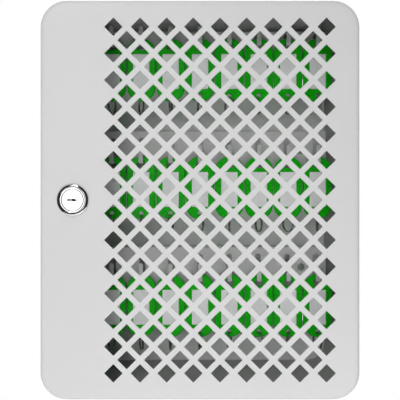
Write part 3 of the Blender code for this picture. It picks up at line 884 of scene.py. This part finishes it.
def add_knuckle(bm, axis, bottom, top):
    profile = [(KNUCKLE_BORE, bottom), (KNUCKLE_RADIUS - LEAF_EDGE, bottom),
               (KNUCKLE_RADIUS, bottom + LEAF_EDGE), (KNUCKLE_RADIUS, top - LEAF_EDGE),
               (KNUCKLE_RADIUS - LEAF_EDGE, top), (KNUCKLE_BORE, top)]
    add_turned(bm, profile, axis, axis="Z", steps=SMALL_STEPS, closed=True)


def build_body_leaf(name, metal):
    """The leaf on the cabinet, with a knuckle at each end."""
    leaf_low, leaf_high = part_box(name + "_body_leaf")
    axis = hinge_axis(name)
    middle = (leaf_low.z + leaf_high.z) / 2
    third = HINGE_HALF_HEIGHT / 3
    low = middle - HINGE_HALF_HEIGHT
    high = middle + HINGE_HALF_HEIGHT
    left = leaf_low.x
    right = left + LEAF_THICKNESS
    reach = axis[1] + KNUCKLE_RADIUS + KNUCKLE_GAP
    bm = bmesh.new()
    add_box(bm, (left, reach, low), (right, leaf_high.y, high), LEAF_EDGE)
    for bottom, top in ((low, middle - third), (middle + third, high)):
        add_knuckle(bm, axis, bottom, top)
        add_box(bm, (left, axis[1], bottom), (right, reach + LEAF_EDGE, top), LEAF_EDGE)
    place(name + "_body_leaf_finished", mesh_from(bm, "leaf"), metal, "cabinet", [name + "_body_leaf"])


def build_door_leaf(name, metal):
    """The leaf inside the door's edge, with a tongue that carries the middle knuckle."""
    leaf_low, leaf_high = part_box(name + "_body_leaf")
    door_low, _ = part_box(name + "_door_leaf")
    axis = hinge_axis(name)
    middle = (leaf_low.z + leaf_high.z) / 2
    half = HINGE_HALF_HEIGHT / 3 - KNUCKLE_GAP
    right = DOOR_HIGH.x - DOOR_SHEET - FIT_GAP
    left = right - LEAF_THICKNESS
    plate_back = axis[1] - KNUCKLE_RADIUS - KNUCKLE_GAP
    tongue_back = axis[1] - (KNUCKLE_RADIUS + KNUCKLE_BORE) / 2
    bm = bmesh.new()
    add_knuckle(bm, axis, middle - half, middle + half)
    add_box(bm, (left, door_low.y, middle - HINGE_HALF_HEIGHT),
            (right, plate_back, middle + HINGE_HALF_HEIGHT), LEAF_EDGE)
    add_box(bm, (left, door_low.y + LEAF_THICKNESS, middle - half),
            (right, tongue_back, middle + half), LEAF_EDGE)
    place(name + "_door_leaf_finished", mesh_from(bm, "leaf"), metal, "door", [name + "_door_leaf"])


def build_pin(name, metal):
    """A pin with domed ends."""
    low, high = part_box(name + "_pin")
    radius = (high.x - low.x) / 2
    profile = [(radius * math.sin(turn), low.z + PIN_DOME * (1 - math.cos(turn)))
               for turn in quarter_turn(DOME_STEPS)]
    profile += [(r, high.z + low.z - z) for r, z in reversed(profile)]
    bm = bmesh.new()
    add_turned(bm, profile, hinge_axis(name), axis="Z", steps=SMALL_STEPS)
    place(name + "_pin_finished", mesh_from(bm, "pin"), metal, "cabinet", [name + "_pin"])


def build_hinge(name, metal):
    build_body_leaf(name, metal)
    build_door_leaf(name, metal)
    build_pin(name, metal)


# Lock

def build_housing(chrome):
    """A rounded bezel, a narrow inner ring and the barrel that goes through the door."""
    front = LOCK_LOW.y
    seat = DOOR_LOW.y - FIT_GAP
    inner_ring = front + INNER_RING_DEPTH
    radius = LOCK_HIGH.x - LOCK_X
    crown = radius - BEZEL_CURVE
    profile = [(PLUG_BORE, LOCK_HIGH.y), (PLUG_BORE, inner_ring + INNER_RING_EDGE),
               (PLUG_BORE + INNER_RING_EDGE, inner_ring), (GROOVE_RADIUS - GROOVE_HALF_WIDTH, inner_ring),
               (GROOVE_RADIUS, front + GROOVE_DEPTH),
               (GROOVE_RADIUS + GROOVE_HALF_WIDTH, front + GROOVE_OUTER_DEPTH)]
    for turn in quarter_turn(BEZEL_STEPS):
        profile.append((crown + BEZEL_CURVE * math.sin(turn), seat + (front - seat) * math.cos(turn)))
    profile += [(BARREL_RADIUS, seat), (BARREL_RADIUS, LOCK_HIGH.y)]
    bm = bmesh.new()
    add_turned(bm, profile, (LOCK_X, 0, 0), closed=True)
    place("lock_housing_finished", mesh_from(bm, "housing"), chrome, "door", ["lock_housing"])


def build_nut(steel):
    low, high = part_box("lock_nut")
    radius = (high.x - low.x) / 2

    def hexagon(offset):
        return circle(LOCK_X, 0, radius - offset, 6)

    bore = round_hole(LOCK_X, 0, BARREL_RADIUS + FIT_GAP, ROUND_STEPS)
    bm = bmesh.new()
    profile = edge_profile(low.y, high.y, NUT_EDGE, NUT_EDGE)
    add_plate(bm, [hexagon, bore], [profile, profile])
    place("lock_nut_finished", mesh_from(bm, "nut"), steel, "door", ["lock_nut"])


def keyway(offset):
    """The keyway, with wards on both sides, in parts of its half length and half width."""
    length = KEYWAY_HALF_LENGTH + offset
    width = KEYWAY_HALF_WIDTH + offset
    ward = width - KEYWAY_WARD
    points = [(length, 0.35 * width), (0.55 * length, 0.35 * width), (0.45 * length, width),
              (0.05 * length, width), (-0.1 * length, ward), (-0.45 * length, ward),
              (-0.55 * length, 0.8 * width), (-length, 0.5 * width), (-length, -0.6 * width),
              (-0.6 * length, -0.6 * width), (-0.5 * length, -ward), (-0.1 * length, -ward),
              (0.05 * length, -width), (0.5 * length, -width), (0.6 * length, -0.5 * width),
              (length, -0.5 * width)]
    return [(LOCK_X + x, z) for x, z in points]


def build_plug(chrome):
    """The turning face with its ring and keyway, and the stem that the cam sits on."""
    low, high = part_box("lock_plug")
    face = low.y
    ring_floor = face + FACE_RING_DEPTH
    plug_back = DOOR_LOW.y + PLUG_LENGTH_BEHIND_DOOR_FRONT
    bm = bmesh.new()
    rings = [(FACE_RING_RADIUS - FACE_RING_HALF_WIDTH, face),
             (FACE_RING_RADIUS - FACE_RING_HALF_FLOOR, ring_floor),
             (FACE_RING_RADIUS + FACE_RING_HALF_FLOOR, ring_floor),
             (FACE_RING_RADIUS + FACE_RING_HALF_WIDTH, face),
             (PLUG_RADIUS - PLUG_EDGE, face), (PLUG_RADIUS, face + PLUG_EDGE),
             (PLUG_RADIUS, plug_back), (STEM_RADIUS, plug_back), (STEM_RADIUS, high.y),
             (SCREW_HOLE_RADIUS, high.y), (SCREW_HOLE_RADIUS, high.y - SCREW_HOLE_DEPTH)]
    loops = [loop_at(bm, circle(LOCK_X, 0, radius, ROUND_STEPS), y) for radius, y in rings]
    bridge_all(bm, loops)
    bm.faces.new(loops[-1])
    profile = [(KEYWAY_EDGE, face), (0.0, face + KEYWAY_EDGE), (0.0, face + KEYWAY_DEPTH)]
    mouth, _ = rolled_wall(bm, keyway, profile)
    fill(bm, [loops[0], mouth])
    place("lock_plug_finished", mesh_from(bm, "plug"), chrome, "lock_core", ["lock_plug"])


def build_keyway_shade(shade_paint):
    """A dark sheet that paints the shade inside the keyway: its walls and its end, just inside the plug's
    own.
    """
    low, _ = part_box("lock_plug")
    bm = bmesh.new()
    profile = [(-KEYWAY_SHADE_INSET, low.y + KEYWAY_SHADE_START), (-KEYWAY_SHADE_INSET, low.y + KEYWAY_DEPTH)]
    _, end = rolled_wall(bm, keyway, profile)
    fill(bm, [end])
    place("keyway_painted_shade", mesh_from(bm, "keyway_painted_shade"), shade_paint, "lock_core")


def build_cam(steel):
    low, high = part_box("lock_cam")

    def outside(offset):
        half = CAM_HALF_WIDTH - offset
        points = arc(LOCK_X, 0, half, 0, 180, CAM_STEPS)
        return points + arc(LOCK_X, low.z + CAM_HALF_WIDTH, half, 180, 180, CAM_STEPS)

    bm = bmesh.new()
    profile = edge_profile(low.y, high.y, CAM_FRONT_EDGE, CAM_BACK_EDGE)
    hole = round_hole(LOCK_X, 0, CAM_HOLE_RADIUS)
    add_plate(bm, [outside, hole], [profile, profile])
    place("lock_cam_finished", mesh_from(bm, "cam"), steel, "lock_core", ["lock_cam"])


def build_washer(steel):
    low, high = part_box("cam_washer")
    radius = (high.x - low.x) / 2

    def outside(offset):
        return circle(LOCK_X, 0, radius - offset)

    bm = bmesh.new()
    profile = edge_profile(low.y, high.y, WASHER_EDGE, WASHER_EDGE)
    hole = round_hole(LOCK_X, 0, WASHER_HOLE_RADIUS)
    add_plate(bm, [outside, hole], [profile, profile])
    place("cam_washer_finished", mesh_from(bm, "washer"), steel, "lock_core", ["cam_washer"])


def build_screw(steel):
    """A screw with a domed head and a cross recess."""
    low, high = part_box("cam_screw")
    head = (high.x - low.x) / 2
    head_front = high.y - SCREW_HEAD_HEIGHT
    dome = high.y - SCREW_DOME
    arm = CROSS_HALF_WIDTH
    reach = CROSS_REACH
    cross = [(reach, -arm), (reach, arm), (arm, arm), (arm, reach), (-arm, reach), (-arm, arm),
             (-reach, arm), (-reach, -arm), (-arm, -arm), (-arm, -reach), (arm, -reach), (arm, -arm)]
    bm = bmesh.new()
    outside = [(SCREW_TIP_RADIUS, low.y), (SCREW_RADIUS, low.y + SCREW_TIP_LENGTH),
               (SCREW_RADIUS, head_front), (head, head_front)]
    for turn in quarter_turn(DOME_STEPS):
        outside.append((head - SCREW_DOME * (1 - math.cos(turn)), dome + SCREW_DOME * math.sin(turn)))
    loops = [loop_at(bm, circle(LOCK_X, 0, r), y) for r, y in outside]
    bridge_all(bm, loops)
    bm.faces.new(loops[0])
    mouth = loop_at(bm, [(LOCK_X + x, z) for x, z in cross], high.y)
    narrowed = [(LOCK_X + CROSS_TAPER * x, CROSS_TAPER * z) for x, z in cross]
    floor = loop_at(bm, narrowed, high.y - CROSS_DEPTH)
    bridge(bm, mouth, floor)
    fill(bm, [floor])
    fill(bm, [loops[-1], mouth])
    place("cam_screw_finished", mesh_from(bm, "screw"), steel, "lock_core", ["cam_screw"])


# Studio

def aim(thing, target):
    thing.rotation_euler = (Vector(target) - thing.location).to_track_quat("-Z", "Y").to_euler()


def add_panel(name, place_at, size, power, in_reflections=False):
    """A soft lamp, aimed at the cabinet. Only some are seen in the chrome."""
    lamp = bpy.data.lights.new(name, "AREA")
    lamp.shape = "RECTANGLE"
    lamp.size, lamp.size_y = size
    lamp.energy = power
    holder = bpy.data.objects.new(name, lamp)
    holder.location = place_at
    holder.visible_glossy = in_reflections
    aim(holder, (0, 0, 0))
    bpy.context.collection.objects.link(holder)


def build_world(background, surroundings):
    """A white background, and a dimmer room for everything that the lamps don't reach."""
    world = bpy.data.worlds.new("studio")
    world.use_nodes = True
    bpy.context.scene.world = world
    tree = world.node_tree
    room = tree.nodes["Background"]
    room.inputs["Color"].default_value = (*surroundings, 1)
    sky = tree.nodes.new("ShaderNodeBackground")
    sky.inputs["Color"].default_value = (*background, 1)
    choice = tree.nodes.new("ShaderNodeMixShader")
    path = tree.nodes.new("ShaderNodeLightPath")
    tree.links.new(path.outputs["Is Camera Ray"], choice.inputs["Fac"])
    tree.links.new(room.outputs["Background"], choice.inputs[1])
    tree.links.new(sky.outputs["Background"], choice.inputs[2])
    tree.links.new(choice.outputs["Shader"], tree.nodes["World Output"].inputs["Surface"])


def lamp_place(azimuth, elevation):
    """A place at the lamps' distance from the cabinet, by degrees to the right and degrees up."""
    side = math.radians(azimuth)
    up = math.radians(elevation)
    return (LAMP_DISTANCE * math.sin(side) * math.cos(up),
            DOOR_LOW.y - LAMP_DISTANCE * math.cos(side) * math.cos(up),
            LAMP_DISTANCE * math.sin(up))


def build_lamps():
    """The lamps that light the front, and then the ones that the chrome shows."""
    add_panel("front_softbox", lamp_place(azimuth=-12, elevation=4), size=(0.8, 0.8), power=8.5)
    add_panel("high_softbox", lamp_place(azimuth=-18, elevation=28), size=(0.7, 0.7), power=8.5)
    add_panel("overhead_softbox", lamp_place(azimuth=0, elevation=72), size=(0.7, 0.7), power=4)
    add_panel("left_softbox", lamp_place(azimuth=-45, elevation=0), size=(0.7, 0.7), power=3.5)
    add_panel("right_softbox", lamp_place(azimuth=75, elevation=10), size=(0.7, 0.7), power=0.6)
    add_panel("right_fill", lamp_place(azimuth=35, elevation=0), size=(0.7, 0.7), power=1.2)
    add_panel("low_softbox", LOW_LAMP_PLACE, size=(0.7, 0.3), power=5.2)
    for name, azimuth in (("back_left_softbox", -140), ("back_right_softbox", 140)):
        add_panel(name, lamp_place(azimuth, elevation=20), size=(0.9, 0.9), power=5, in_reflections=True)
    add_panel("top_softbox", (0, TOP_LAMP_Y, LAMP_DISTANCE), size=(1.2, 1.2), power=12,
              in_reflections=True)
    add_panel("front_card", lamp_place(azimuth=-15, elevation=0), size=(0.5, 0.5), power=1.2,
              in_reflections=True)
    add_panel("overhead_card", lamp_place(azimuth=-17, elevation=52), size=(0.5, 1.6), power=4,
              in_reflections=True)


def build_floor():
    bm = bmesh.new()
    bm.faces.new([bm.verts.new((x, y, FLOOR_Z)) for x, y in circle(0, 0, FLOOR_RADIUS, ROUND_STEPS)])
    floor = bpy.data.objects.new("floor", mesh_from(bm, "floor"))
    floor.data.materials.append(floor_paint())
    bpy.context.collection.objects.link(floor)


def build_camera():
    data = bpy.data.cameras.new("camera")
    data.lens = CAMERA_LENS
    camera = bpy.data.objects.new("camera", data)
    camera.location = (0, DOOR_LOW.y - CAMERA_DISTANCE, 0)
    camera.rotation_euler = (math.pi / 2, 0, 0)
    bpy.context.collection.objects.link(camera)
    bpy.context.scene.camera = camera


def build_scene():
    bpy.context.scene.view_settings.view_transform = "Standard"
    paint = powder_coat("grey_powder_coat", light=grey(0.43), dark=grey(0.41), roughness=0.42,
                        grain=0.7 * MM, grain_depth=0.015 * MM)
    # Painted light and shade: the back panel and the rails take copies of the cabinet's one grey coat. The
    # panel's copy is about twice as light, painted light for the inside. The rails' copy is darker than
    # the panel's, painted shade for the extra light they catch nearer the door.
    panel_paint_painted_lighter = powder_coat("panel_coat_painted_lighter", light=grey(0.82), dark=grey(0.78), roughness=0.55,
                              grain=0.9 * MM, grain_depth=0.05 * MM)
    rail_paint_painted_darker = powder_coat("rail_coat_painted_darker", light=grey(0.43), dark=grey(0.40), roughness=0.55,
                             grain=0.9 * MM, grain_depth=0.05 * MM)
    post_steel = plated_metal("post_zinc", bright=(0.88, 0.88, 0.89), dull=(0.80, 0.80, 0.81),
                              smooth=0.50, rough=0.62, scratch_depth=0.01 * MM)
    chrome = plated_metal("chrome_plate", bright=(0.90, 0.90, 0.91), dull=(0.86, 0.86, 0.87),
                          smooth=0.03, rough=0.07, scratch_depth=0.0006 * MM)
    steel = plated_metal("zinc_plate", bright=(0.70, 0.71, 0.74), dull=(0.58, 0.59, 0.62),
                         smooth=0.28, rough=0.42, scratch_depth=0.01 * MM)
    wire = plated_metal("nickel_wire", bright=(0.50, 0.49, 0.47), dull=(0.40, 0.39, 0.38),
                        smooth=0.14, rough=0.26, scratch_depth=0.004 * MM)

    build_camera()
    build_shell(paint)
    # The back panel takes the lighter copy of the coat, painted light, and the rails take the darker copy,
    # painted shade.
    build_back_panel(panel_paint_painted_lighter)
    for row, row_name in enumerate(ROWS):
        build_rail(row_name, row_height(row), rail_paint_painted_darker)
        for side in ("left", "right"):
            build_post("rail_post_%s_%s" % (row_name, side), post_steel)
    build_tags(moulded_plastic(), label_paper(), clear_cover(), wire)
    build_door(paint)
    build_hinge("upper_hinge", steel)
    build_hinge("lower_hinge", steel)
    build_housing(chrome)
    build_nut(steel)
    build_plug(chrome)
    # The dark sheet in the keyway is painted shade.
    build_keyway_shade(keyway_shade_paint())
    build_cam(steel)
    build_washer(steel)
    build_screw(steel)
    build_world(background=grey(1.0), surroundings=grey(0.03))
    build_lamps()
    build_floor()


build_scene()
